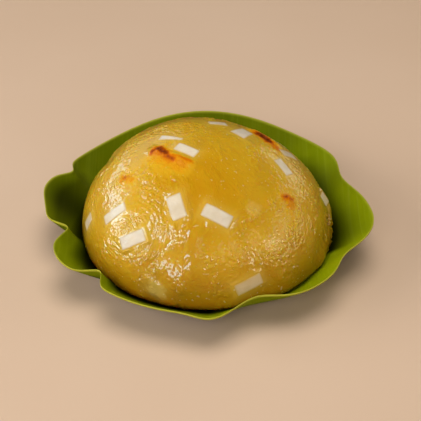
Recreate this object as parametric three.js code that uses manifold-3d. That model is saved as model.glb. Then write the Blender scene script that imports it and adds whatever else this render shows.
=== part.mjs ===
// Coconut halwa: one soft dome of set halwa with slices of coconut in its skin, resting on a cupped leaf.
// Millimetres, +Z up. The origin is the middle of the leaf's flat underside, and the front faces -Y.
// Azimuths are in degrees from +X, anticlockwise seen from above. Elevations are in degrees above the waist.
import * as THREE from 'three';
import { mergeVertices } from 'three/addons/utils/BufferGeometryUtils.js';
import Module from 'manifold-3d';

// Clearance between pieces that touch
const GAP = 0.3;

// Colour and gloss of each material
const HALWA_LOOK = { color: 0xc99518, roughness: 0.2, metalness: 0 };
const COCONUT_LOOK = { color: 0xe8dcc0, roughness: 0.45, metalness: 0 };
const LEAF_LOOK = { color: 0x6a8412, roughness: 0.4, metalness: 0 };

// Halwa: a round dome that leans a little to the left, bulges to its waist and tucks under to its foot
const DOME_WIDTH = 94;
const DOME_DEPTH = 95;
const DOME_TOP = 50;
const DOME_LEAN = -0.1;
const DOME_FULLNESS = 1.8;
const DOME_DETAIL = 17;
const WAIST_HEIGHT = 10;
const TUCK_DEPTH = 13;
const TUCK_FULLNESS = 2;

// Broad swells of the skin: where, how wide (degrees seen from the middle of the waist) and how high
const SWELLS = [
  { azimuth: -126, elevation: 22, spread: 20, height: 1.2 },
  { azimuth: -48, elevation: 24, spread: 22, height: 0.9 },
  { azimuth: 8, elevation: 28, spread: 24, height: 0.9 },
  { azimuth: 100, elevation: 20, spread: 28, height: 0.8 },
];

// Creases and folds where the halwa slumped as it set, and the browned crags that stand out of it
const FOLDS = [
  { from: [-112, 42], to: [-113, 2], spread: 5, height: -1.2 },
  { from: [-95, 32], to: [-99, 10], spread: 5, height: 0.7 },
  { from: [-68, 34], to: [-62, 6], spread: 6, height: -0.6 },
  { from: [-30, 1], to: [4, 8], spread: 3, height: 1.1 },
  { from: [60, 40], to: [110, 24], spread: 6, height: -0.9 },
  { from: [165, 34], to: [150, 10], spread: 6, height: -0.8 },
];
const CRAGS = [
  { from: [-162, 66], to: [-99, 69], spread: 3.4, height: 1.1 },
  { from: [37, 50], to: [21, 43], spread: 3, height: 0.9 },
  { from: [-159, 41], to: [-151, 46], spread: 2.6, height: 0.4 },
  { from: [-32, 37], to: [-30, 33], spread: 2.4, height: 0.5 },
  { from: [96, 40], to: [118, 34], spread: 3.2, height: 0.8 },
];

// Coconut slices: where each is set, how it is turned in the skin, and its size. One leans out of the skin.
const SLICE_THICKNESS = 2.4;
const SLICE_PROUD = 0.2;
const SLICE_BEVEL = 0.3;
const SLICES = [
  { azimuth: -179.5, elevation: 77, spin: 63, length: 10, width: 3.4, taper: 0.45 },
  { azimuth: -113, elevation: 77.4, spin: -12, length: 9.3, width: 4.4, taper: 1 },
  { azimuth: 59, elevation: 68, spin: 45, length: 7.5, width: 4.5, taper: 0.8 },
  { azimuth: 28, elevation: 62, spin: -60, length: 9.5, width: 6.5, taper: 0.8 },
  { azimuth: 14, elevation: 38, spin: -70, length: 9, width: 4.5, taper: 1 },
  { azimuth: -7, elevation: 43, spin: 55, length: 8, width: 5, taper: 1 },
  { azimuth: -105, elevation: 44, spin: -60, length: 9.5, width: 6, taper: 1 },
  { azimuth: -79, elevation: 40, spin: -35, length: 11, width: 5.4, taper: 1 },
  { azimuth: -143, elevation: 30, spin: 60, length: 11, width: 4.4, taper: 0.85 },
  { azimuth: -125.4, elevation: 24.2, spin: 40, length: 10.5, width: 5, taper: 1 },
  { azimuth: -162, elevation: 15, spin: 75, length: 6.5, width: 5, taper: 0.8 },
  { azimuth: -71, elevation: 8, spin: 15, length: 10.5, width: 4.6, taper: 1 },
  { azimuth: -113, elevation: 5, spin: -20, length: 7.5, width: 5, taper: 0.8 },
  { azimuth: 2, elevation: 13.5, spin: 85, lean: -20, length: 5.8, width: 4.5, taper: 0.8 },
];

// Slices round the back: spread over a span of azimuths, with their elevations and turns taken in rotation
const BACK_SLICES = 7;
const BACK_SPAN = [40, 134];
const BACK_ELEVATIONS = [28, 12, 20];
const BACK_TURN = 137.5;
const BACK_SIZE = { length: 10, width: 5, taper: 0.9 };

// Leaf: a piece cut about round, flat under the halwa, with its edge turned up higher and wider at the back
const LEAF_THICKNESS = 0.8;
const LEAF_FLAT_RADIUS = 35;
const LEAF_REACH = 60.5;
const LEAF_BACK_REACH = 4.5;
const LEAF_HEIGHT = 17.5;
const LEAF_BACK_HEIGHT = 4.5;
const LEAF_CURL = 1.4;
const LEAF_SEGMENTS = 120;
const LEAF_FLAT_RINGS = 2;
const LEAF_EDGE_RINGS = 8;

// Waves of the leaf's edge: where, how wide (degrees), and how much farther out and higher it goes there
const LEAF_WAVES = [
  { azimuth: 132, spread: 26, reach: 0, rise: -4.5 },
  { azimuth: 52, spread: 26, reach: 0, rise: -4 },
  { azimuth: 20, spread: 12, reach: -6, rise: 0 },
  { azimuth: 154.5, spread: 4, reach: -4, rise: 0 },
  { azimuth: 167, spread: 9, reach: 2.5, rise: 0 },
  { azimuth: 192.5, spread: 5, reach: -7, rise: 0.5 },
  { azimuth: 208, spread: 9, reach: 2, rise: 0 },
  { azimuth: 222.5, spread: 4.5, reach: -6, rise: 0.5 },
  { azimuth: 271, spread: 7, reach: 3, rise: 0 },
  { azimuth: 290, spread: 11, reach: -6, rise: 0 },
  { azimuth: 332, spread: 8, reach: -2.5, rise: 0 },
  { azimuth: 352, spread: 10, reach: 2.5, rise: 0 },
];

const wasm = await Module();
wasm.setup();

const radians = THREE.MathUtils.degToRad;

// Bell curve that is 1 at the middle and falls to 1/e one spread away
function bell(distance, spread) {
  return Math.exp(-((distance / spread) ** 2));
}

// Unit vector at an azimuth and an elevation
function direction(azimuth, elevation) {
  const across = Math.cos(radians(elevation));
  return new THREE.Vector3(
    across * Math.cos(radians(azimuth)),
    across * Math.sin(radians(azimuth)),
    Math.sin(radians(elevation)),
  );
}

// Chord from a unit vector to the straight line between two others
function distanceToLine(unit, start, end) {
  const line = new THREE.Line3(start, end);
  return line.closestPointToPoint(unit, true, new THREE.Vector3()).distanceTo(unit);
}

const swells = SWELLS.map((s) => ({ ...s, at: direction(s.azimuth, s.elevation) }));
const ridges = [...FOLDS, ...CRAGS].map((r) => ({
  ...r,
  start: direction(...r.from),
  end: direction(...r.to),
}));

// Distance of the upright dome's skin from the middle of its waist, along a unit vector
function domeRadius(unit) {
  const above = unit.z > 0;
  const fullness = above ? DOME_FULLNESS : TUCK_FULLNESS;
  const level = Math.hypot(unit.x / (DOME_WIDTH / 2), unit.y / (DOME_DEPTH / 2));
  const upright = Math.abs(unit.z) / (above ? DOME_TOP - WAIST_HEIGHT : TUCK_DEPTH);
  let radius = (level ** fullness + upright ** fullness) ** (-1 / fullness);
  for (const s of swells) {
    radius += s.height * bell(s.at.distanceTo(unit), radians(s.spread));
  }
  for (const r of ridges) {
    radius += r.height * bell(distanceToLine(unit, r.start, r.end), radians(r.spread));
  }
  return radius;
}

// Point of the halwa's skin along a unit vector: the upright dome leaned over and let down onto the leaf
function domePoint(unit) {
  const point = unit.clone().multiplyScalar(domeRadius(unit));
  point.x += DOME_LEAN * Math.max(point.z, 0);
  point.z += WAIST_HEIGHT;
  point.z = Math.max(point.z, leafTop(point.x, point.y) + GAP);
  return point;
}

// A geometry as a solid that can be joined and cut
function solidOf(geometry) {
  const bare = geometry.clone();
  bare.deleteAttribute('normal');
  bare.deleteAttribute('uv');
  const merged = mergeVertices(bare);
  return new wasm.Manifold(
    new wasm.Mesh({
      numProp: 3,
      vertProperties: new Float32Array(merged.getAttribute('position').array),
      triVerts: new Uint32Array(merged.index.array),
    }),
  );
}

// A solid's surface as a geometry
function geometryOf(solid) {
  const mesh = solid.getMesh();
  const geometry = new THREE.BufferGeometry();
  geometry.setAttribute('position', new THREE.BufferAttribute(mesh.vertProperties, mesh.numProp));
  geometry.setIndex(new THREE.BufferAttribute(mesh.triVerts, 1));
  geometry.computeVertexNormals();
  return geometry;
}

// The whole body of the halwa, before the hollows for the slices are cut
function bodyGeometry() {
  const ball = new THREE.IcosahedronGeometry(1, DOME_DETAIL);
  ball.deleteAttribute('normal');
  ball.deleteAttribute('uv');
  const skin = mergeVertices(ball);
  const position = skin.getAttribute('position');
  const unit = new THREE.Vector3();
  for (let i = 0; i < position.count; i++) {
    unit.fromBufferAttribute(position, i).normalize();
    position.setXYZ(i, ...domePoint(unit));
  }
  return skin;
}

// Outline of a slice as it lies flat, with its sides moved outward
function sliceOutline(place, outward) {
  const end = place.length / 2 + outward;
  const near = place.width / 2 + outward;
  const far = (place.width * place.taper) / 2 + outward;
  const corners = [
    [-end, -near],
    [end, -far],
    [end, far],
    [-end, near],
  ];
  return new THREE.Shape(corners.map((corner) => new THREE.Vector2(...corner)));
}

// Turns an object so that its Z stands out of the skin at a place, and its X lies at a spin from level,
// and then leans it about its X
function setInSkin(object, place) {
  const step = 0.5;
  const { azimuth, elevation } = place;
  const middle = domePoint(direction(azimuth, elevation));
  const along = domePoint(direction(azimuth + step, elevation)).sub(middle);
  const upward = domePoint(direction(azimuth, elevation + step)).sub(middle);
  const out = along.clone().cross(upward).normalize();
  along.applyAxisAngle(out, radians(place.spin)).normalize();
  const basis = new THREE.Matrix4().makeBasis(along, out.clone().cross(along), out);
  object.position.copy(middle);
  object.setRotationFromMatrix(basis);
  object.rotateX(radians(place.lean ?? 0));
  object.updateMatrix();
  return object;
}

function sliceMesh(place, index) {
  const geometry = new THREE.ExtrudeGeometry(sliceOutline(place, -SLICE_BEVEL), {
    depth: SLICE_THICKNESS - 2 * SLICE_BEVEL,
    bevelSize: SLICE_BEVEL,
    bevelThickness: SLICE_BEVEL,
    bevelSegments: 1,
  });
  geometry.translate(0, 0, SLICE_PROUD - SLICE_THICKNESS + SLICE_BEVEL);
  const mesh = new THREE.Mesh(geometry, new THREE.MeshStandardMaterial(COCONUT_LOOK));
  mesh.name = `coconut_slice_${String(index + 1).padStart(2, '0')}`;
  return setInSkin(mesh, place);
}

// The hollow that a slice sits in, carried on out through the skin
function hollowSolid(place) {
  const depth = 2 * SLICE_THICKNESS;
  const hollow = new THREE.ExtrudeGeometry(sliceOutline(place, GAP), { depth, bevelEnabled: false });
  hollow.translate(0, 0, SLICE_PROUD - SLICE_THICKNESS - GAP);
  return solidOf(hollow.applyMatrix4(setInSkin(new THREE.Object3D(), place).matrix));
}

function halwaMesh(places) {
  let solid = solidOf(bodyGeometry());
  for (const place of places) {
    solid = solid.subtract(hollowSolid(place));
  }
  const mesh = new THREE.Mesh(geometryOf(solid), new THREE.MeshStandardMaterial(HALWA_LOOK));
  mesh.name = 'halwa';
  return mesh;
}

// Angle between two azimuths, in degrees from 0 to 180
function turnBetween(a, b) {
  return Math.abs(THREE.MathUtils.euclideanModulo(a - b + 180, 360) - 180);
}

// The leaf at an azimuth: its span from the flat middle to the edge, how far the folds there move
// the edge out or in, and how high the edge stands
function leafEdge(azimuth) {
  const back = Math.sin(radians(azimuth));
  const span = LEAF_REACH + LEAF_BACK_REACH * back - LEAF_FLAT_RADIUS;
  let fold = 0;
  let height = LEAF_HEIGHT + LEAF_BACK_HEIGHT * back;
  for (const wave of LEAF_WAVES) {
    const share = bell(turnBetween(azimuth, wave.azimuth), wave.spread);
    fold += wave.reach * share;
    height += wave.rise * share;
  }
  return { span, fold, height };
}

// Point of the leaf's underside: share 0 is the edge of its flat middle and 1 its cut edge,
// and the folds grow from nothing to their full size on the way
function leafPoint(azimuth, share) {
  const { span, fold, height } = leafEdge(azimuth);
  const radius = LEAF_FLAT_RADIUS + span * share + fold * share ** 2;
  const z = height * share ** LEAF_CURL;
  return new THREE.Vector3(radius * Math.cos(radians(azimuth)), radius * Math.sin(radians(azimuth)), z);
}

// Height of the leaf's upper face, with the share found back from the radius
function leafTop(x, y) {
  const { span, fold, height } = leafEdge(THREE.MathUtils.radToDeg(Math.atan2(y, x)));
  const past = Math.max(Math.hypot(x, y) - LEAF_FLAT_RADIUS, 0);
  const share = (2 * past) / (span + Math.sqrt(span ** 2 + 4 * fold * past));
  return LEAF_THICKNESS + height * share ** LEAF_CURL;
}

// Rings of the leaf's underside, from the innermost of its flat middle out to its cut edge
function leafRings() {
  const azimuths = Array.from({ length: LEAF_SEGMENTS }, (_, i) => (360 * i) / LEAF_SEGMENTS);
  const rings = [];
  for (let i = 1; i <= LEAF_FLAT_RINGS; i++) {
    const shrink = i / LEAF_FLAT_RINGS;
    rings.push(azimuths.map((a) => leafPoint(a, 0).multiplyScalar(shrink)));
  }
  for (let i = 1; i <= LEAF_EDGE_RINGS; i++) {
    rings.push(azimuths.map((a) => leafPoint(a, i / LEAF_EDGE_RINGS)));
  }
  return rings;
}

// A thin closed sheet over rings of points: two faces split alike, one thickness apart, and the cut edge
function leafGeometry() {
  const rings = leafRings();
  const under = [new THREE.Vector3(), ...rings.flat()];
  const over = under.map((p) => p.clone().setZ(p.z + LEAF_THICKNESS));
  const top = under.length;
  const triangles = [];
  const at = (ring, i) => 1 + ring * LEAF_SEGMENTS + (i % LEAF_SEGMENTS);
  const bothFaces = (a, b, c) => triangles.push(a, c, b, top + a, top + b, top + c);
  for (let i = 0; i < LEAF_SEGMENTS; i++) {
    bothFaces(0, at(0, i), at(0, i + 1));
    for (let ring = 1; ring < rings.length; ring++) {
      bothFaces(at(ring - 1, i), at(ring, i), at(ring, i + 1));
      bothFaces(at(ring - 1, i), at(ring, i + 1), at(ring - 1, i + 1));
    }
    const [a, b] = [at(rings.length - 1, i), at(rings.length - 1, i + 1)];
    triangles.push(a, b, top + b, a, top + b, top + a);
  }
  const geometry = new THREE.BufferGeometry().setFromPoints([...under, ...over]);
  geometry.setIndex(triangles);
  geometry.computeVertexNormals();
  return geometry;
}

function leafMesh() {
  const mesh = new THREE.Mesh(leafGeometry(), new THREE.MeshStandardMaterial(LEAF_LOOK));
  mesh.name = 'leaf';
  return mesh;
}

// Slices in a row round the back of the dome
function backSlices() {
  const [first, last] = BACK_SPAN;
  return Array.from({ length: BACK_SLICES }, (_, i) => ({
    ...BACK_SIZE,
    azimuth: THREE.MathUtils.lerp(first, last, i / (BACK_SLICES - 1)),
    elevation: BACK_ELEVATIONS[i % BACK_ELEVATIONS.length],
    spin: BACK_TURN * i,
  }));
}

const places = [...SLICES, ...backSlices()];
const part = new THREE.Group();
part.add(leafMesh(), halwaMesh(places), ...places.map(sliceMesh));

export default part;
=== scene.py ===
"""Coconut halwa on a leaf: the finished surfaces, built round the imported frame.

Lengths in this script are in millimetres, and become metres when a mesh is made. Azimuths are in
degrees from +X, anticlockwise seen from above, and elevations in degrees above the halwa's waist.
A place on the halwa is its azimuth and elevation. A noise has a pitch, a strength and a seed.
"""
import math

import bmesh
import bpy
import numpy as np
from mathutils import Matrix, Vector


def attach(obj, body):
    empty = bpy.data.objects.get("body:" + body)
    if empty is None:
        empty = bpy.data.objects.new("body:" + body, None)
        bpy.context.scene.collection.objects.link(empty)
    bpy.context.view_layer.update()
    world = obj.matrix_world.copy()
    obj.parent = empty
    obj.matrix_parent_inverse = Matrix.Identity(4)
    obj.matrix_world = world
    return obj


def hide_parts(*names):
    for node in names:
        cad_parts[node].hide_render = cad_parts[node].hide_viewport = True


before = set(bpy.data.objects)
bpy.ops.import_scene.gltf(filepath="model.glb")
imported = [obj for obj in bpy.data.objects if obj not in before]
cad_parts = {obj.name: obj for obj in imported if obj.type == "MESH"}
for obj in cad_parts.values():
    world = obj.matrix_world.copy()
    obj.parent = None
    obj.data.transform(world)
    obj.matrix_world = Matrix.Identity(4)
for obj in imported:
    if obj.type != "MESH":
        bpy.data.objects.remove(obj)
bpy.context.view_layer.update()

MM = 0.001
TINY = 1e-9

# Noise: how many gradients it draws, and what brings its range to about -1 to 1
NOISE_GRADIENTS = 256
NOISE_GAIN = 1.7

# Halwa: the same dome as in the frame
DOME_WIDTH = 94
DOME_DEPTH = 95
DOME_TOP = 50
DOME_LEAN = -0.1
DOME_FULLNESS = 1.8
WAIST_HEIGHT = 10
TUCK_DEPTH = 13
TUCK_FULLNESS = 2
GAP = 0.3
SWELLS = [
    dict(at=(-126, 22), spread=20, height=1.2),
    dict(at=(-48, 24), spread=22, height=0.9),
    dict(at=(8, 28), spread=24, height=0.9),
    dict(at=(100, 20), spread=28, height=0.8),
]
FOLDS = [
    dict(line=((-112, 42), (-113, 2)), spread=5, height=-1.2),
    dict(line=((-95, 32), (-99, 10)), spread=5, height=0.7),
    dict(line=((-68, 34), (-62, 6)), spread=6, height=-0.6),
    dict(line=((-30, 1), (4, 8)), spread=3, height=1.1),
    dict(line=((60, 40), (110, 24)), spread=6, height=-0.9),
    dict(line=((165, 34), (150, 10)), spread=6, height=-0.8),
]
CRAGS = [
    dict(line=((-162, 66), (-99, 69)), spread=3.4, height=1.1),
    dict(line=((37, 50), (21, 43)), spread=3.0, height=0.9),
    dict(line=((-159, 41), (-151, 46)), spread=2.6, height=0.4),
    dict(line=((-32, 37), (-30, 33)), spread=2.4, height=0.5),
    dict(line=((96, 40), (118, 34)), spread=3.2, height=0.8),
]

# Skin mesh: how often its ball is split, how far below the waist it is kept, and its stretch there
SKIN_FINENESS = 8
SKIN_LOWEST = -8
SKIN_TUCK_STRETCH = 2
# Places that the mesh's points are pulled to, where the skin is most crinkled
SKIN_PULLS = [(-128, 25), (-46, 24), (110, 26)]
SKIN_PULL = 0.4
SKIN_PULL_SPREAD = 32
# What turns a chord between unit vectors into millimetres on the skin
SKIN_RADIUS = DOME_WIDTH / 2

# Browned strokes: from a place to a place, how wide they are and how dark
TOASTS = [
    dict(line=((-159, 65), (-158, 69)), width=1.6, dark=0.75),
    dict(line=((-158, 69), (-140, 70)), width=2.0, dark=0.95),
    dict(line=((-140, 70), (-123, 68.5)), width=1.8, dark=0.75),
    dict(line=((-128, 71), (-97, 69)), width=1.6, dark=0.5),
    dict(line=((-157, 67), (-128, 68)), width=3.0, dark=0.47),
    dict(line=((-135, 67.5), (-106, 67)), width=3.0, dark=0.37),
    dict(line=((-148, 64), (-108, 65)), width=3.8, dark=0.3),
    dict(line=((-138, 62), (-115, 63)), width=4.0, dark=0.16),
    dict(line=((31, 51), (22, 48)), width=2.2, dark=1.0),
    dict(line=((22, 48), (13, 43)), width=2.0, dark=0.55),
    dict(line=((34, 52), (14, 45)), width=3.4, dark=0.45),
    dict(line=((-156, 46), (-154.5, 45.5)), width=1.6, dark=0.52),
    dict(line=((-154.5, 43), (-153.5, 43.2)), width=0.8, dark=0.45),
    dict(line=((-156, 45), (-151, 47)), width=3.3, dark=0.36),
    dict(line=((-31.5, 36), (-30, 35)), width=1.0, dark=0.85),
    dict(line=((-29, 34), (-28, 33)), width=0.8, dark=0.7),
    dict(line=((-31, 35.5), (-28.5, 33.5)), width=2.3, dark=0.58),
    dict(line=((-31, 35), (-31, 31.5)), width=3.4, dark=0.38),
    dict(line=((-32, 32), (-35, 28)), width=3.4, dark=0.2),
    dict(line=((94, 41), (104, 39)), width=1.8, dark=0.95),
    dict(line=((104, 39), (116, 36)), width=1.4, dark=0.7),
    dict(line=((96, 38), (114, 35)), width=2.6, dark=0.4),
    dict(line=((98, 35), (112, 32)), width=3.6, dark=0.2),
]
# What makes them blotchy, ragged and mottled, and the blisters on them
TOAST_BLOTCH = dict(pitch=2.2, strength=0.3, seed=41)
TOAST_FINE_BLOTCH = dict(pitch=0.8, strength=0.25, seed=42)
TOAST_RAGGED = dict(pitch=2.5, strength=0.015, seed=43)
TOAST_MOTTLE = dict(pitch=0.9, strength=0.2, seed=49)
TOAST_BLISTER = dict(pitch=1.5, strength=0.12, seed=51)
# How browned the skin is where the brown begins to show, and where it covers the gold
TOAST_LEVELS = (0.02, 0.28)

# Slices that lie just under the skin and show through it, and where they fade and end, in sizes
SUNK_SLICES = [
    dict(at=(-55.5, 39), size=6, clear=0.4),
    dict(at=(-55, 21.5), size=6.5, clear=0.32),
    dict(at=(-112, 4.5), size=7, clear=0.45),
    dict(at=(64, 36), size=6, clear=0.3),
]
SUNK_FADE = (0.3, 0.65)
SUNK_BLOTCH = dict(pitch=2, strength=0.3, seed=45)
SUNK_FINE_BLOTCH = dict(pitch=1, strength=0.2, seed=46)

# Crinkles of the skin: rings about a middle, their pitch outward, waves in a turn, height and reach
CRINKLES = [
    dict(at=(-130, 25), pitch=0.9, turns=3.5, height=0.4, reach=20, seed=3),
    dict(at=(-130, 25), pitch=0.8, turns=5.5, height=0.3, reach=36, seed=13),
    dict(at=(-46, 24), pitch=0.8, turns=8, height=0.32, reach=16, seed=5),
    dict(at=(-46, 24), pitch=0.7, turns=14, height=0.26, reach=36, seed=23),
    dict(at=(-150, 46), pitch=0.65, turns=9, height=0.32, reach=28, seed=15),
    dict(at=(-88, 4), pitch=0.7, turns=11, height=0.27, reach=24, seed=17),
    dict(at=(-104, 2), pitch=3.0, turns=40, height=0.45, reach=18, seed=29),
    dict(at=(-12, 5), pitch=1.6, turns=7, height=0.9, reach=10, seed=27),
    dict(at=(-22, -3), pitch=1.4, turns=6, height=0.9, reach=8, seed=39),
    dict(at=(-90, 84), pitch=2.5, turns=26, height=0.06, reach=40, seed=25),
    dict(at=(110, 26), pitch=0.95, turns=5, height=0.34, reach=18, seed=7),
    dict(at=(110, 26), pitch=1.2, turns=8, height=0.26, reach=34, seed=19),
    dict(at=(12, 34), pitch=0.65, turns=14, height=0.3, reach=32, seed=9),
    dict(at=(155, 58), pitch=0.8, turns=9, height=0.22, reach=20, seed=33),
    dict(at=(85, 58), pitch=0.8, turns=9, height=0.22, reach=20, seed=37),
]
# How fast their pitch grows outward, and the middle where their waves die out
CRINKLE_GROWTH = 0.03
CRINKLE_MIDDLE = 5
# What bends them, and the patches where they are strong or faint
CRINKLE_BEND = dict(pitch=7, strength=1.2, seed=20)
CRINKLE_PATCHES = dict(pitch=8, strength=1, seed=31)
CRINKLE_PATCH_LEVELS = (-0.35, 0.45)
CRINKLE_FAINTEST = 0.3
# What a crinkle is made of: sharp creases, and rounder and coarser folds
CREASE_SHARE = 0.8
CREASE_LEVEL = 0.6
ROUND_SHARE = 0.6
ROUND_FINENESS = 0.6
# Finest wrinkles and flecks, which only the material shows
WRINKLE_FINENESS = 1.6
WRINKLE_DETAIL = 1.5
WRINKLE_HEIGHT = 0.32
# The flecks' pale colour is partly coconut crumbs and partly painted glints
FLECK_FINENESS = 900
FLECK_LEVELS = (0.75, 0.82)
FLECK_CLEARNESS = 0.35
FLECK_HEIGHT = 0.3

# Amber part of the top, and heights between which painted shade darkens the colour toward the foot
AMBER_MIDDLE = (-86, 58)
AMBER_SPREAD = 24
AMBER_MOTTLE = dict(pitch=9, strength=0.4, seed=47)
LOW_SHADE_SHARE = 0.85
LOW_SHADE_HEIGHTS = (2, 28)
# Sides of the foot that lie in shade: from where to where, how wide and how deep
FOOT_SHADES = [
    dict(line=((10, 12), (-16, 5)), width=8, deep=0.5),
    dict(line=((-16, 5), (-44, -2)), width=8, deep=0.5),
    dict(line=((-135, -2), (-165, 3)), width=7, deep=0.3),
]
# How far light passes through the skin, and its gloss, which browned skin loses
TRANSLUCENCY = 0.9
GLOSS = 0.9
GLOSS_LOSS = 2.2
GLOSS_LEAST = 0.05

# Slices: rounded blocks, slightly curved and warped
SLICE_CELLS = 20
SLICE_ROUNDING = 0.3
SLICE_CORNER_PULL = 0.04
SLICE_CORNER_SHARPNESS = 4
SLICE_CURVE_RADIUS = 55
SLICE_WARP = dict(pitch=2.5, strength=0.07)
SLICE_FIRST_SEED = 60
FLESH_GRAIN_FINENESS = 700
FLESH_GRAIN_HEIGHT = 0.14
# The film of halwa on them, thicker on some of them and at their sides
SLICE_FILM = 0.03
SLICE_FILMS = dict(coconut_slice_03=0.14, coconut_slice_05=0.2, coconut_slice_11=0.2,
                   coconut_slice_12=0.48, coconut_slice_14=0.2)
SLICE_SIDE_FILM = 0.8
SLICE_SIDE_WIDTH = 0.8
# The skin near them: a rim that climbs their sides, and a socket below their top
SLICE_NEAR = 4
SLICE_RIM_DROP = 0.1
SLICE_RIM_WIDTH = 0.9
SLICE_RIM_REACH = (-0.3, 1.5)
SLICE_STIFFNESS = 0.8
SOCKET_DEPTH = 1.0
SOCKET_EDGE = (0.55, 1.3)
# How far a painted glow, a paler colour as if light came through them, reaches the skin, and how far they
# keep light out of it
SLICE_GLOW_WIDTH = 2.0
SLICE_PAINTED_GLOW = 0.15
SLICE_DENSITY = 0.85
# The slice that lies wholly under the skin, and how thick the skin is over it
SLICES_COVERED = {"coconut_slice_13"}
SLICE_COVER = 0.45
# Digits of a millimetre within which a slice's corners are the same point
CORNER_DIGITS = 4

# Leaf: the same sheet as in the frame
LEAF_THICKNESS = 0.8
LEAF_FLAT_RADIUS = 35
LEAF_REACH = 60.5
LEAF_BACK_REACH = 4.5
LEAF_HEIGHT = 17.5
LEAF_BACK_HEIGHT = 4.5
LEAF_CURL = 1.4
LEAF_WAVES = [
    dict(azimuth=132, spread=26, reach=0, rise=-4.5),
    dict(azimuth=52, spread=26, reach=0, rise=-4),
    dict(azimuth=20, spread=12, reach=-6, rise=0),
    dict(azimuth=154.5, spread=4, reach=-4, rise=0),
    dict(azimuth=167, spread=9, reach=2.5, rise=0),
    dict(azimuth=192.5, spread=5, reach=-7, rise=0.5),
    dict(azimuth=208, spread=9, reach=2, rise=0),
    dict(azimuth=222.5, spread=4.5, reach=-6, rise=0.5),
    dict(azimuth=271, spread=7, reach=3, rise=0),
    dict(azimuth=290, spread=11, reach=-6, rise=0),
    dict(azimuth=332, spread=8, reach=-2.5, rise=0),
    dict(azimuth=352, spread=10, reach=2.5, rise=0),
]
LEAF_SEGMENTS = 480
LEAF_FLAT_RINGS = 6
LEAF_EDGE_RINGS = 60
VEIN_ANGLE = -30
VEIN_STRETCH = (1, 0.01, 0.05)
VEIN_FINENESS = 900
VEIN_LEVELS = (0.5, 0.75)
VEIN_CLEARNESS = 0.45
VEIN_HEIGHT = 0.12
# Where the pale edge starts, as a share of the way out, from 0 at the flat middle to 1 at the edge
LEAF_EDGE_START = 0.975
# Shade beside the halwa, which fades between two shares of the way out, save in the light at the front right.
# The light's azimuths are where it starts, is full, fades and ends
LEAF_SHADE_REACH = (0.5, 0.95)
LEAF_LIT_FRONT = (-90, -75, -19, -15)
LEAF_LIT_SHARE = 0.95
# Shade behind the halwa, by azimuths of the same kind
LEAF_DARK_BACK = (38, 62, 165, 185)
LEAF_BACK_SHADE = 0.55
# Shade in the fold at the left, which is lighter toward its edge
LEAF_DARK_FOLD = 167
LEAF_DARK_FOLD_SPREAD = 28
LEAF_FOLD_SHADE = 0.95
LEAF_FOLD_LIGHTER = 0.4
LEAF_FOLD_LIGHTER_REACH = (0.8, 1)
# Painted light on the fold at the front right, which makes it brighter
LEAF_LIT_FOLD = -27
LEAF_LIT_FOLD_SPREAD = 13
LEAF_LIT_FOLD_REACH = (0.5, 0.9)
LEAF_FOLD_LIGHT = 0.6

# Display colours, from 0 to 255
GOLD_DARK = (209, 163, 14)
GOLD_LIGHT = (225, 182, 38)
AMBER = (208, 157, 8)
# Painted shade toward the halwa's foot
LOW_SHADE_GOLD = (172, 102, 0)
SHADED_GOLD = (96, 60, 0)
PALE_GOLD = (240, 206, 110)
FLECK_AND_GLINT = (246, 232, 186)
FLESH_DARK = (217, 203, 178)
FLESH_LIGHT = (233, 223, 206)
FILM = (210, 166, 46)
GREEN_DARK = (108, 124, 2)
GREEN_LIGHT = (146, 162, 6)
VEIN = (150, 166, 34)
SHADED_GREEN = (24, 28, 0)
# Painted light on the leaf's fold at the front right
LIT_GREEN = (172, 186, 12)
EDGE_GREEN = (176, 174, 58)
FLOOR_DARK = (212, 185, 161)
FLOOR_LIGHT = (216, 190, 167)
# Colours of browned skin, by how browned it is
TOAST_COLOURS = [
    (0.12, (226, 182, 34)),
    (0.3, (220, 156, 8)),
    (0.5, (206, 112, 0)),
    (0.75, (154, 66, 0)),
    (1.0, (96, 36, 0)),
]

# Stage: soft lights that leave no highlight, with their place, size, power in watts and tint
LIGHTS = [
    dict(name="key", place=(-880, -160, 450), size=(900, 380), power=5.4, tint=(1.0, 0.95, 0.87)),
    dict(name="overhead", place=(50, 50, 1100), size=(800, 800), power=8.0, tint=(1.0, 0.94, 0.86)),
    dict(name="front", place=(-120, -850, 600), size=(650, 350), power=3.5, tint=(1.0, 0.96, 0.9)),
    dict(name="right", place=(880, -150, 350), size=(700, 450), power=0.8, tint=(1.0, 0.86, 0.7)),
]
# Lights that only leave highlights: their azimuth and elevation, size, power and tint
COOL = (0.5, 0.8, 1.0)
WARM = (0.9, 0.85, 0.7)
SHINES = [
    dict(at=(-175, 18), size=(350, 220), power=1.9, tint=COOL),
    dict(at=(-152, 34), size=(250, 200), power=1.2, tint=COOL),
    dict(at=(158, 18), size=(300, 200), power=0.8, tint=COOL),
    dict(at=(-122, 52), size=(250, 200), power=0.9, tint=COOL),
    dict(at=(-130, 9), size=(350, 150), power=0.8, tint=COOL),
    dict(at=(-98, 22), size=(200, 150), power=0.5, tint=COOL),
    dict(at=(140, 14), size=(400, 150), power=0.35, tint=COOL),
    dict(at=(140, 24), size=(1400, 500), power=0.9, tint=COOL),
    dict(at=(-30, 19), size=(250, 200), power=0.4, tint=WARM),
    dict(at=(-8, 20), size=(1100, 400), power=1.1, tint=WARM),
    dict(at=(-58, 32), size=(500, 300), power=0.3, tint=WARM),
    dict(at=(47, 14), size=(500, 250), power=0.4, tint=WARM),
]
SHINE_DISTANCE = 1000
WORLD_TINT = (1.0, 0.85, 0.6, 1)
WORLD_STRENGTH = 0.04
FLOOR_HALF_SIDE = 1500
CAMERA_AZIMUTH = -90
CAMERA_ELEVATION = 36
CAMERA_DISTANCE = 450
CAMERA_AIM = (1.3, 3.3, 14.5)
CAMERA_LENS = 101.3
CAMERA_SENSOR = 36
CAMERA_NEAREST = 10


# Curves, directions and noise

def bell(distance, spread):
    """Bell curve that is 1 at the middle and falls to 1/e one spread away."""
    return np.exp(-((distance / spread) ** 2))


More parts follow.
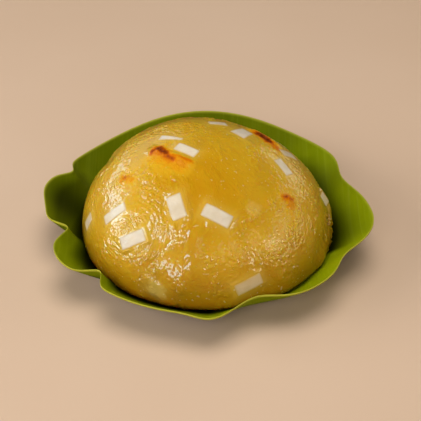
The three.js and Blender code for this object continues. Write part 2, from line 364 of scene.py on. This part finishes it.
def ramp(value, low, high):
    """Smooth step from 0 at low to 1 at high."""
    share = np.clip((value - low) / (high - low), 0, 1)
    return share * share * (3 - 2 * share)


def plateau(value, starts, full, fades, ends):
    """Smooth step from 0 to 1 between two values, and back to 0 between two others."""
    return ramp(value, starts, full) * (1 - ramp(value, fades, ends))


def unit(vector):
    """Vector of length 1 along another."""
    return vector / np.linalg.norm(vector)


def direction(azimuth, elevation):
    """Unit vector at an azimuth and an elevation."""
    across = math.cos(math.radians(elevation))
    turn = math.radians(azimuth)
    return np.array([across * math.cos(turn), across * math.sin(turn), math.sin(math.radians(elevation))])


def distance_to_place(units, place):
    """Chord from unit vectors to a place."""
    return np.linalg.norm(units - direction(*place), axis=1)


def distance_to_line(units, line):
    """Chord from unit vectors to the straight line between two places."""
    start, end = (direction(*place) for place in line)
    along = end - start
    share = np.clip((units - start) @ along / (along @ along), 0, 1)
    return np.linalg.norm(units - start - share[:, None] * along, axis=1)


def noise(points, seed):
    """Smooth gradient noise at points, from about -1 to 1, with a pitch of 1."""
    random = np.random.default_rng(seed)
    gradients = random.normal(size=(NOISE_GRADIENTS, 3))
    gradients /= np.linalg.norm(gradients, axis=1, keepdims=True)
    shuffle = np.tile(random.permutation(NOISE_GRADIENTS), 3)
    cell = np.floor(points).astype(int)
    part = points - cell
    fade = part ** 3 * (part * (part * 6 - 15) + 10)
    total = np.zeros(len(points))
    for corner in np.ndindex(2, 2, 2):
        spot = (cell + corner) % NOISE_GRADIENTS
        row = shuffle[spot[:, 0]] + spot[:, 1]
        pick = shuffle[shuffle[row] + spot[:, 2]]
        slope = np.einsum("ij,ij->i", gradients[pick], part - corner)
        total += slope * np.where(corner, fade, 1 - fade).prod(axis=1)
    return NOISE_GAIN * total


def mottle(points, pitch, strength, seed):
    """Noise of a pitch and a strength at points."""
    return strength * noise(points / pitch, seed)


def wobble(points, pitch, strength, seed):
    """Vectors of noise of a pitch and a strength at points."""
    return np.stack([mottle(points, pitch, strength, seed + i) for i in range(3)], axis=1)


# Forms shared with the frame

def leaf_edge(azimuth):
    """The leaf at azimuths: its span outside the flat middle, what the folds add to it, and its height."""
    back = np.sin(np.radians(azimuth))
    span = LEAF_REACH + LEAF_BACK_REACH * back - LEAF_FLAT_RADIUS
    fold = np.zeros_like(back)
    height = LEAF_HEIGHT + LEAF_BACK_HEIGHT * back
    for wave in LEAF_WAVES:
        turn = np.abs((azimuth - wave["azimuth"] + 180) % 360 - 180)
        share = bell(turn, wave["spread"])
        fold += wave["reach"] * share
        height += wave["rise"] * share
    return span, fold, height


def leaf_top(points):
    """Height of the leaf's upper face under points."""
    span, fold, height = leaf_edge(np.degrees(np.arctan2(points[:, 1], points[:, 0])))
    past = np.maximum(np.hypot(points[:, 0], points[:, 1]) - LEAF_FLAT_RADIUS, 0)
    # The share of the way out where span * share + fold * share ** 2 comes to past
    share = 2 * past / (span + np.sqrt(np.maximum(span ** 2 + 4 * fold * past, 0)))
    return LEAF_THICKNESS + height * share ** LEAF_CURL


def dome_points(units):
    """Points of the halwa's skin along unit vectors from the middle of its waist."""
    above = units[:, 2] > 0
    fullness = np.where(above, DOME_FULLNESS, TUCK_FULLNESS)
    level = np.hypot(units[:, 0] / (DOME_WIDTH / 2), units[:, 1] / (DOME_DEPTH / 2))
    upright = np.abs(units[:, 2]) / np.where(above, DOME_TOP - WAIST_HEIGHT, TUCK_DEPTH)
    radius = (level ** fullness + upright ** fullness) ** (-1 / fullness)
    for swell in SWELLS:
        away = distance_to_place(units, swell["at"])
        radius += swell["height"] * bell(away, math.radians(swell["spread"]))
    for ridge in FOLDS + CRAGS:
        away = distance_to_line(units, ridge["line"])
        radius += ridge["height"] * bell(away, math.radians(ridge["spread"]))
    points = units * radius[:, None]
    points[:, 0] += DOME_LEAN * np.maximum(points[:, 2], 0)
    points[:, 2] += WAIST_HEIGHT
    points[:, 2] = np.maximum(points[:, 2], leaf_top(points) + GAP)
    return points


def slice_nodes():
    """Names of the coconut slices' nodes, in order."""
    return sorted(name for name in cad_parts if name.startswith("coconut_slice_"))


def slice_frame(node):
    """Middle, axes (length, width, out), sizes and taper of a coconut slice, read from its node."""
    corners = np.array([v.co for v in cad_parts[node].data.vertices]) / MM
    corners = np.unique(corners.round(CORNER_DIGITS), axis=0)
    middle = corners.mean(0)
    axes = np.linalg.svd(corners - middle, full_matrices=False)[2]
    out = axes[2] * np.sign(axes[2] @ (middle - (0, 0, WAIST_HEIGHT)))
    axes = np.stack([axes[0], np.cross(out, axes[0]), out])
    local = (corners - middle) @ axes.T
    far, near = (np.ptp(local[sign * local[:, 0] > 0][:, 1]) for sign in (1, -1))
    return middle, axes, np.ptp(local, axis=0), (far - near) / (far + near)


def slice_distance(local, size, taper):
    """How far points in a slice's frame are outside its outline, or inside it where that is negative."""
    half = size[:2] / 2
    width = half[1] * (1 + taper * np.clip(local[:, 0] / half[0], -1, 1)) / (1 + abs(taper))
    past = np.stack([np.abs(local[:, 0]) - half[0], np.abs(local[:, 1]) - width], axis=1)
    return np.linalg.norm(np.maximum(past, 0), axis=1) + np.minimum(past.max(axis=1), 0)


def slice_sag(local):
    """How far a slice's curve falls below its middle at points in its frame."""
    return (local[:, 0] ** 2 + local[:, 1] ** 2) / (2 * SLICE_CURVE_RADIUS)


# Skin of the halwa

def skin_grid():
    """Unit vectors and triangles over the dome, closest together where it is most crinkled."""
    ball = bmesh.new()
    bmesh.ops.create_icosphere(ball, subdivisions=SKIN_FINENESS, radius=1)
    lowest = math.sin(math.radians(SKIN_LOWEST))
    bmesh.ops.delete(ball, geom=[v for v in ball.verts if v.co.z < lowest], context="VERTS")
    ball.verts.index_update()
    places = np.array([v.co for v in ball.verts])
    faces = np.array([[v.index for v in face.verts] for face in ball.faces])
    ball.free()
    elevation = np.arcsin(np.clip(places[:, 2], -1, 1))
    elevation = np.where(elevation < 0, SKIN_TUCK_STRETCH * elevation, elevation)
    turn = np.arctan2(places[:, 1], places[:, 0])
    across = np.cos(elevation)
    units = np.stack([across * np.cos(turn), across * np.sin(turn), np.sin(elevation)], axis=1)
    for place in SKIN_PULLS:
        toward = direction(*place) - units
        share = bell(np.linalg.norm(toward, axis=1), math.radians(SKIN_PULL_SPREAD))
        units = units + SKIN_PULL * share[:, None] * toward
    return units / np.linalg.norm(units, axis=1, keepdims=True), faces


def vertex_normals(points, faces):
    """Unit normals at the points of a triangle mesh."""
    a, b, c = (points[faces[:, i]] for i in range(3))
    across = np.cross(b - a, c - a)
    normals = np.zeros_like(points)
    for i in range(3):
        np.add.at(normals, faces[:, i], across)
    return normals / (np.linalg.norm(normals, axis=1, keepdims=True) + TINY)


def foot_fan(faces, foot):
    """Triangles from the open border of a mesh to a point in the middle of its foot."""
    sides = np.vstack([faces[:, [0, 1]], faces[:, [1, 2]], faces[:, [2, 0]]])
    keys = sides[:, 0] * foot + sides[:, 1]
    border = sides[~np.isin(keys, sides[:, 1] * foot + sides[:, 0])]
    return np.column_stack([border[:, 1], border[:, 0], np.full(len(border), foot)])


def crinkle_space(points, crinkle):
    """Ring coordinates of points about a crinkle's middle, in pitches, and how strong it is there."""
    out = direction(*crinkle["at"])
    level = unit(np.cross((0, 0, 1), out))
    from_middle = points - dome_points(out[None])[0]
    away = np.linalg.norm(from_middle, axis=1)
    turn = np.arctan2(from_middle @ np.cross(out, level), from_middle @ level)
    waves = crinkle["turns"] * away / (away + CRINKLE_MIDDLE)
    outward = np.log1p(CRINKLE_GROWTH * away) / (CRINKLE_GROWTH * crinkle["pitch"])
    rings = np.stack([outward, waves * np.cos(turn), waves * np.sin(turn)], axis=1)
    return rings, bell(away, crinkle["reach"])


def crinkle_fields(points):
    """Ring coordinates and strength of each crinkle, bent and broken into patches."""
    bent = points + wobble(points, **CRINKLE_BEND)
    strong = ramp(mottle(points, **CRINKLE_PATCHES), *CRINKLE_PATCH_LEVELS)
    patches = CRINKLE_FAINTEST + (1 - CRINKLE_FAINTEST) * strong
    fields = (crinkle_space(bent, crinkle) for crinkle in CRINKLES)
    return [(rings, share * patches) for rings, share in fields]


def crinkle_height(fields):
    """Relief of the crinkles that the skin's mesh carries."""
    total = 0
    for crinkle, (rings, share) in zip(CRINKLES, fields):
        creased = 2 * np.abs(noise(rings, crinkle["seed"])) - CREASE_LEVEL
        rounded = noise(rings * ROUND_FINENESS, crinkle["seed"] + 1)
        total = total + crinkle["height"] * share * (CREASE_SHARE * creased + ROUND_SHARE * rounded)
    return total


def slice_relief(points):
    """What the slices do to the skin: a socket under each and a rim where the skin climbs its sides,
    how far they stiffen it, and how far their painted glow reaches it, from 0 to 1."""
    total = np.zeros(len(points))
    stiff = np.zeros(len(points))
    glow = np.zeros(len(points))
    for node in slice_nodes():
        middle, axes, size, taper = slice_frame(node)
        local = (points - middle) @ axes.T
        outside = slice_distance(local, size, taper)
        near = (np.abs(local[:, 2]) < SLICE_NEAR) & (outside < SLICE_NEAR)
        beside = np.maximum(outside, 0)
        rim = bell(beside, SLICE_RIM_WIDTH)
        covered = node in SLICES_COVERED
        lift = size[2] / 2 - slice_sag(local) - local[:, 2] + (SLICE_COVER if covered else -SLICE_RIM_DROP)
        socket = 0 if covered else SOCKET_DEPTH * ramp(-outside, *SOCKET_EDGE)
        total += np.where(near, np.clip(lift, *SLICE_RIM_REACH) * rim - socket, 0)
        stiff += np.where(near, rim, 0)
        glow = np.maximum(glow, np.where(near, bell(beside, SLICE_GLOW_WIDTH), 0))
    return total, np.minimum(stiff, 1), glow


def toast_share(units, points):
    """How browned the skin is, from blotchy strokes that run together."""
    total = np.zeros(len(points))
    blotch = 1 + mottle(points, **TOAST_BLOTCH) + mottle(points, **TOAST_FINE_BLOTCH)
    ragged = units + wobble(points, **TOAST_RAGGED)
    for toast in TOASTS:
        away = distance_to_line(ragged, toast["line"]) * SKIN_RADIUS
        total = np.maximum(total, toast["dark"] * bell(away * blotch, toast["width"]))
    return total * (1 + mottle(points, **TOAST_MOTTLE))


def sunk_share(units, points):
    """How far slices under the skin show through it."""
    blotch = mottle(points, **SUNK_BLOTCH) + mottle(points, **SUNK_FINE_BLOTCH)
    total = np.zeros(len(units))
    for sunk in SUNK_SLICES:
        away = distance_to_place(units, sunk["at"]) * SKIN_RADIUS
        fades, ends = np.array(SUNK_FADE) * sunk["size"]
        total += sunk["clear"] * (1 - ramp(away * (1 + blotch), fades, ends))
    return total


def shade_share(units):
    """How far the sides of the foot lie in shade."""
    total = np.zeros(len(units))
    for shade in FOOT_SHADES:
        away = distance_to_line(units, shade["line"]) * SKIN_RADIUS
        total = np.maximum(total, shade["deep"] * bell(away, shade["width"]))
    return total


def amber_share(units, points):
    """How amber the skin is about the middle of the amber part."""
    away = distance_to_place(units, AMBER_MIDDLE)
    return np.clip(bell(away, math.radians(AMBER_SPREAD)) * (1 + mottle(points, **AMBER_MOTTLE)), 0, 1)


def low_shade_share(points):
    """How far painted shade darkens the colour toward the foot."""
    return LOW_SHADE_SHARE * (1 - ramp(points[:, 2], *LOW_SHADE_HEIGHTS))


# Meshes and what they keep

def mesh_object(name, points, faces):
    """New smooth object from points in millimetres and faces."""
    mesh = bpy.data.meshes.new(name)
    mesh.from_pydata((points * MM).tolist(), [], faces)
    mesh.validate()
    mesh.polygons.foreach_set("use_smooth", [True] * len(mesh.polygons))
    made = bpy.data.objects.new(name, mesh)
    bpy.context.scene.collection.objects.link(made)
    return made


def paint(piece, name, values):
    """Keeps a number or a vector on each vertex of a piece, for its material."""
    values = np.asarray(values, np.float32)
    kind, field = ("FLOAT", "value") if values.ndim == 1 else ("FLOAT_VECTOR", "vector")
    layer = piece.data.attributes.new(name, kind, "POINT")
    layer.data.foreach_set(field, values.ravel())


def dress(piece, material, slot, *nodes):
    """Gives a piece its material, hangs it on the root, and hides the frame's nodes that it stands for."""
    piece.data.materials.append(material)
    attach(piece, "root")
    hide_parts(*nodes)


# Materials

def colour(display):
    """Scene colour of a display colour, by the sRGB curve."""
    share = np.array(display) / 255
    linear = np.where(share > 0.04045, ((share + 0.055) / 1.055) ** 2.4, share / 12.92)
    return (*linear, 1.0)


class Nodes:
    """Short way to make a material's nodes and links."""

    def __init__(self, name):
        self.material = bpy.data.materials.new(name)
        self.material.use_nodes = True
        self.tree = self.material.node_tree
        self.shader = self.tree.nodes["Principled BSDF"]

    def add(self, kind, **settings):
        """New node with its settings, such as an operation."""
        node = self.tree.nodes.new("ShaderNode" + kind)
        for key, value in settings.items():
            setattr(node, key, value)
        return node

    def feed(self, socket, value):
        """Links a socket to another node's output, or sets it to a plain value."""
        if isinstance(value, bpy.types.NodeSocket):
            self.tree.links.new(value, socket)
        else:
            socket.default_value = value

    def set(self, **values):
        """Sets the shader's own sockets."""
        for key, value in values.items():
            self.feed(self.shader.inputs[key.replace("_", " ")], value)

    def kept(self, name, output="Fac"):
        """What a piece keeps on its vertices under a name."""
        return self.add("Attribute", attribute_name=name).outputs[output]

    def place(self, turn=0, stretch=(1, 1, 1)):
        """Place on the object in metres, turned about Z and stretched."""
        node = self.add("Mapping")
        self.feed(node.inputs["Vector"], self.add("TexCoord").outputs["Object"])
        node.inputs["Rotation"].default_value = (0, 0, math.radians(turn))
        node.inputs["Scale"].default_value = stretch
        return node.outputs["Vector"]

    def texture(self, where, scale, detail=2.0):
        """Cloudy noise from 0 to 1."""
        node = self.add("TexNoise")
        self.feed(node.inputs["Vector"], where)
        node.inputs["Scale"].default_value = scale
        node.inputs["Detail"].default_value = detail
        return node.outputs["Fac"]

    def ramp(self, source, *stops):
        """Colours along a number."""
        node = self.add("ValToRGB")
        elements = node.color_ramp.elements
        while len(elements) < len(stops):
            elements.new(1.0)
        for element, (place, value) in zip(elements, stops):
            element.position = place
            element.color = value
        self.feed(node.inputs["Fac"], source)
        return node.outputs["Color"]

    def clouds(self, texture, dark, light, low=0.3, high=0.7):
        """Two display colours that follow a texture."""
        return self.ramp(texture, (low, colour(dark)), (high, colour(light)))

    def climb(self, source, low, high, most=1.0):
        """Number that climbs from 0 at low to most at high."""
        return self.ramp(source, (low, (0, 0, 0, 1)), (high, (most, most, most, 1)))

    def mix(self, share, first, second):
        """One colour turning into another by a share."""
        node = self.add("Mix", data_type="RGBA")
        # Sockets 6 and 7 take the colours: those between the share and them are for other kinds of data
        factor, a, b = (node.inputs[i] for i in (0, 6, 7))
        for socket, value in ((factor, share), (a, first), (b, second)):
            self.feed(socket, value)
        return node.outputs[2]

    def calculate(self, operation, *values):
        """Number that an operation makes of others."""
        node = self.add("Math", operation=operation)
        for socket, value in zip(node.inputs, values):
            self.feed(socket, value)
        return node.outputs["Value"]

    def bump(self, height, distance):
        """Lets a height in distances stand on the surface."""
        node = self.add("Bump")
        node.inputs["Distance"].default_value = distance * MM
        self.feed(node.inputs["Height"], height)
        self.feed(self.shader.inputs["Normal"], node.outputs["Normal"])


def halwa_colour(make, flecks):
    """Gold with amber, painted shade near the foot, pale sunk slices with painted glow, browning, and flecks
    of crumb and painted glint.
    """
    toast = make.kept("toast")
    golden = make.clouds(make.texture(make.place(), scale=60, detail=3), GOLD_DARK, GOLD_LIGHT)
    amber = make.mix(make.kept("amber"), golden, colour(AMBER))
    # Painted shade that darkens the colour toward the foot
    low_shaded = make.mix(make.kept("deep"), amber, colour(LOW_SHADE_GOLD))
    shaded = make.mix(make.kept("shade"), low_shaded, colour(SHADED_GOLD))
    # Pale where slices show through, and a painted glow beside the slices
    paler = make.mix(make.kept("sunk"), shaded, colour(PALE_GOLD))
    # Pale flecks: partly coconut crumbs, partly painted glints
    flecked = make.mix(make.calculate("MULTIPLY", flecks, FLECK_CLEARNESS), paler, colour(FLECK_AND_GLINT))
    browned = make.ramp(toast, *((level, colour(display)) for level, display in TOAST_COLOURS))
    return make.mix(make.climb(toast, *TOAST_LEVELS), flecked, browned)


def halwa_material():
    make = Nodes("halwa")
    flecks = make.climb(make.texture(make.place(), FLECK_FINENESS, detail=0), *FLECK_LEVELS)
    make.set(Base_Color=halwa_colour(make, flecks))
    translucent = make.calculate("MULTIPLY_ADD", make.kept("dense"), -TRANSLUCENCY, TRANSLUCENCY)
    make.set(Subsurface_Weight=translucent, Subsurface_Radius=(1.0, 0.55, 0.12), Subsurface_Scale=5 * MM)
    make.set(Roughness=0.4, Specular_IOR_Level=0.2, Coat_Roughness=0.11, Coat_IOR=1.9)
    dulled = make.calculate("MULTIPLY_ADD", make.kept("toast"), -GLOSS_LOSS, GLOSS)
    make.set(Coat_Weight=make.calculate("MAXIMUM", dulled, GLOSS_LEAST))
    height = make.calculate("MULTIPLY", flecks, FLECK_HEIGHT)
    for i in range(len(CRINKLES)):
        wrinkles = make.texture(make.kept(f"rings_{i}", "Vector"), WRINKLE_FINENESS, WRINKLE_DETAIL)
        height = make.calculate("MULTIPLY_ADD", wrinkles, make.kept(f"wrinkled_{i}"), height)
    make.bump(height, WRINKLE_HEIGHT)
    return make.material


def coconut_material():
    make = Nodes("coconut")
    place = make.place()
    flesh = make.clouds(make.texture(place, scale=180, detail=3), FLESH_DARK, FLESH_LIGHT)
    make.set(Base_Color=make.mix(make.kept("film"), flesh, colour(FILM)))
    make.set(Subsurface_Weight=0.4, Subsurface_Radius=(1.0, 0.8, 0.5), Subsurface_Scale=2 * MM)
    make.set(Roughness=0.42, Coat_Weight=0.5, Coat_Roughness=0.15)
    make.bump(make.texture(place, FLESH_GRAIN_FINENESS), FLESH_GRAIN_HEIGHT)
    return make.material


def leaf_material():
    make = Nodes("leaf")
    veins = make.texture(make.place(VEIN_ANGLE, VEIN_STRETCH), VEIN_FINENESS, detail=1)
    cloud = make.texture(make.place(), scale=35, detail=3)
    blade = make.clouds(cloud, GREEN_DARK, GREEN_LIGHT, low=0.25, high=0.75)
    lined = make.mix(make.climb(veins, *VEIN_LEVELS, VEIN_CLEARNESS), blade, colour(VEIN))
    shaded = make.mix(make.kept("shade"), lined, colour(SHADED_GREEN))
    # Painted light on the fold at the front right
    lit_by_paint = make.mix(make.kept("lit_fold"), shaded, colour(LIT_GREEN))
    make.set(Base_Color=make.mix(make.kept("edge"), lit_by_paint, colour(EDGE_GREEN)))
    make.set(Roughness=0.45, Specular_IOR_Level=0.03)
    make.set(Subsurface_Weight=0.1, Subsurface_Radius=(0.6, 1.0, 0.2), Subsurface_Scale=1 * MM)
    make.bump(veins, VEIN_HEIGHT)
    return make.material


def floor_material():
    make = Nodes("floor")
    make.set(Base_Color=make.clouds(make.texture(make.place(), scale=8), FLOOR_DARK, FLOOR_LIGHT))
    make.set(Roughness=0.7)
    return make.material


# Pieces

def make_halwa():
    units, faces = skin_grid()
    points = dome_points(units)
    fields = crinkle_fields(points)
    toast = toast_share(units, points)
    rims, stiff, glow = slice_relief(points)
    relief = crinkle_height(fields) * (1 - SLICE_STIFFNESS * stiff) + rims
    relief += toast * mottle(points, **TOAST_BLISTER)
    raised = points + vertex_normals(points, faces) * relief[:, None]
    raised[:, 2] = np.maximum(raised[:, 2], leaf_top(raised) + GAP)
    faces = np.vstack([faces, foot_fan(faces, len(raised))]).tolist()
    piece = mesh_object("halwa_skin", np.vstack([raised, (0, 0, LEAF_THICKNESS + GAP)]), faces)
    # The last value of each is for the point in the middle of the foot
    paint(piece, "toast", np.append(toast, 0))
    paint(piece, "dense", np.append(np.maximum(toast, SLICE_DENSITY * glow), 0))
    # Pale where slices show through the skin, plus a painted glow beside the slices
    paint(piece, "sunk", np.append(sunk_share(units, points) + SLICE_PAINTED_GLOW * glow, 0))
    paint(piece, "shade", np.append(shade_share(units), 1))
    paint(piece, "amber", np.append(amber_share(units, points), 0))
    # Painted shade: the colour darkens toward the foot
    paint(piece, "deep", np.append(low_shade_share(points), 1))
    for i, (rings, share) in enumerate(fields):
        paint(piece, f"rings_{i}", np.vstack([rings, (0, 0, 0)]))
        paint(piece, f"wrinkled_{i}", np.append(share, 0))
    dress(piece, halwa_material(), "halwa", "halwa")


def rounded_slab(size):
    """Points and faces of a block with rounded edges, made of six grids."""
    side = np.linspace(-1, 1, SLICE_CELLS + 1)
    count = len(side)
    u, v = (a.ravel() for a in np.meshgrid(side, side, indexing="ij"))
    at = np.arange(count * count).reshape(count, count)
    quads = np.stack([c.ravel() for c in (at[:-1, :-1], at[1:, :-1], at[1:, 1:], at[:-1, 1:])], axis=1)
    points, faces = [], []
    for axis in range(3):
        for sign in (-1, 1):
            turned = (sign > 0) == (axis == 1)
            faces += ((quads[:, ::-1] if turned else quads) + len(points) * count * count).tolist()
            points.append(np.insert(np.stack([u, v], axis=1), axis, sign, axis=1))
    half = size / 2
    block = np.vstack(points) * half
    inner = np.clip(block, SLICE_ROUNDING - half, half - SLICE_ROUNDING)
    away = block - inner
    return inner + SLICE_ROUNDING * away / (np.linalg.norm(away, axis=1, keepdims=True) + TINY), faces


def make_slices():
    material = coconut_material()
    for i, node in enumerate(slice_nodes()):
        middle, axes, size, taper = slice_frame(node)
        local, faces = rounded_slab(size)
        share = local / (size / 2)
        local[:, 0] *= 1 - SLICE_CORNER_PULL * share[:, 1] ** SLICE_CORNER_SHARPNESS
        local[:, 1] *= 1 - SLICE_CORNER_PULL * share[:, 0] ** SLICE_CORNER_SHARPNESS
        local[:, 1] *= (1 + taper * share[:, 0]) / (1 + abs(taper))
        local[:, 2] -= slice_sag(local)
        side = ramp(slice_distance(local, size, taper), -SLICE_SIDE_WIDTH, 0)
        places = middle + local @ axes
        places += axes[2] * mottle(places, seed=SLICE_FIRST_SEED + i, **SLICE_WARP)[:, None]
        piece = mesh_object(node + "_flesh", places, faces)
        film = SLICE_FILMS.get(node, SLICE_FILM)
        paint(piece, "film", film + (1 - film) * SLICE_SIDE_FILM * side)
        dress(piece, material, "coconut", node)


def leaf_points():
    """Points of the leaf's underside, its middle first and then ring by ring, with each one's azimuth and
    share of the way out to the edge."""
    azimuths = np.arange(LEAF_SEGMENTS) * 360 / LEAF_SEGMENTS
    turn = np.radians(azimuths)
    out = np.stack([np.cos(turn), np.sin(turn)], axis=1)
    span, fold, height = leaf_edge(azimuths)
    flat = np.linspace(0, 1, LEAF_FLAT_RINGS + 1)[1:]
    risen = np.linspace(0, 1, LEAF_EDGE_RINGS + 1)[1:]
    rings = [(np.full_like(span, LEAF_FLAT_RADIUS * share), np.zeros_like(span)) for share in flat]
    rings += [(LEAF_FLAT_RADIUS + span * s + fold * s ** 2, height * s ** LEAF_CURL) for s in risen]
    points = np.vstack([np.zeros((1, 3))] + [np.column_stack([out * r[:, None], z]) for r, z in rings])
    around = np.tile((azimuths + 180) % 360 - 180, len(rings))
    shares = np.repeat(np.append(np.zeros_like(flat), risen), LEAF_SEGMENTS)
    return points, np.append(0, around), np.append(0, shares)


def leaf_faces():
    """Faces of the leaf's upper side, of the band round its edge and of its underside."""
    ring_count = LEAF_FLAT_RINGS + LEAF_EDGE_RINGS
    at = 1 + np.arange(ring_count * LEAF_SEGMENTS).reshape(ring_count, LEAF_SEGMENTS)
    after = np.roll(at, -1, axis=1)
    top = at.size + 1
    fan = np.stack([np.zeros(LEAF_SEGMENTS, int), at[0], after[0]], axis=1)
    quads = np.stack([a.ravel() for a in (at[:-1], at[1:], after[1:], after[:-1])], axis=1)
    band = np.stack([at[-1], after[-1], after[-1] + top, at[-1] + top], axis=1)
    upper = (fan + top).tolist() + (quads + top).tolist()
    return upper + band.tolist() + fan[:, ::-1].tolist() + quads[:, ::-1].tolist()


def leaf_shade(around, shares):
    """How far the leaf lies in shade: beside the halwa, behind it and in the fold at the left."""
    lit = LEAF_LIT_SHARE * plateau(around, *LEAF_LIT_FRONT)
    beside = (1 - ramp(shares, *LEAF_SHADE_REACH)) * (1 - lit)
    behind = LEAF_BACK_SHADE * plateau(around, *LEAF_DARK_BACK)
    folded = LEAF_FOLD_SHADE * bell(around % 360 - LEAF_DARK_FOLD, LEAF_DARK_FOLD_SPREAD)
    folded = folded * (1 - LEAF_FOLD_LIGHTER * ramp(shares, *LEAF_FOLD_LIGHTER_REACH))
    return np.maximum.reduce([beside, behind, folded])


def make_leaf():
    under, around, shares = leaf_points()
    piece = mesh_object("leaf_blade", np.vstack([under, under + (0, 0, LEAF_THICKNESS)]), leaf_faces())
    # Painted light on the fold at the front right
    lit_fold = LEAF_FOLD_LIGHT * bell(around - LEAF_LIT_FOLD, LEAF_LIT_FOLD_SPREAD)
    lit_fold = lit_fold * ramp(shares, *LEAF_LIT_FOLD_REACH)
    # Both sides of the leaf keep the same values
    paint(piece, "edge", np.tile(ramp(shares, LEAF_EDGE_START, 1), 2))
    paint(piece, "lit_fold", np.tile(lit_fold, 2))
    paint(piece, "shade", np.tile(leaf_shade(around, shares), 2))
    dress(piece, leaf_material(), "leaf", "leaf")


# Stage

def make_floor():
    corners = np.array([(-1, -1, 0), (1, -1, 0), (1, 1, 0), (-1, 1, 0)]) * FLOOR_HALF_SIDE
    floor = mesh_object("floor", corners, [[0, 1, 2, 3]])
    floor.data.materials.append(floor_material())
    floor.visible_glossy = False


def make_light(name, place, size, power, tint):
    """Light of a width and a height that faces the object."""
    lamp = bpy.data.lights.new(name, "AREA")
    lamp.shape = "RECTANGLE"
    lamp.size, lamp.size_y = np.array(size) * MM
    lamp.energy = power
    lamp.color = tint
    made = bpy.data.objects.new(name, lamp)
    made.location = Vector(place) * MM
    made.rotation_euler = (-made.location).to_track_quat("-Z", "Y").to_euler()
    bpy.context.scene.collection.objects.link(made)
    return made


def make_lights():
    for light in LIGHTS:
        make_light(**light).visible_glossy = False
    for i, shine in enumerate(SHINES):
        place = direction(*shine["at"]) * SHINE_DISTANCE
        made = make_light(f"shine_{i}", place, shine["size"], shine["power"], shine["tint"])
        made.visible_diffuse = False


def make_world():
    world = bpy.data.worlds.new("soft")
    world.use_nodes = True
    background = world.node_tree.nodes["Background"]
    background.inputs["Color"].default_value = WORLD_TINT
    background.inputs["Strength"].default_value = WORLD_STRENGTH
    bpy.context.scene.world = world


def make_camera():
    lens = bpy.data.cameras.new("camera")
    lens.lens = CAMERA_LENS
    lens.sensor_width = CAMERA_SENSOR
    lens.clip_start = CAMERA_NEAREST * MM
    made = bpy.data.objects.new("camera", lens)
    eye = direction(CAMERA_AZIMUTH, CAMERA_ELEVATION) * CAMERA_DISTANCE + (0, 0, WAIST_HEIGHT)
    made.location = Vector(eye) * MM
    made.rotation_euler = (Vector(CAMERA_AIM) - Vector(eye)).to_track_quat("-Z", "Y").to_euler()
    bpy.context.scene.collection.objects.link(made)
    bpy.context.scene.camera = made


bpy.context.scene.view_settings.view_transform = "Standard"
make_camera()
make_world()
make_lights()
make_floor()
make_leaf()
make_halwa()
make_slices()
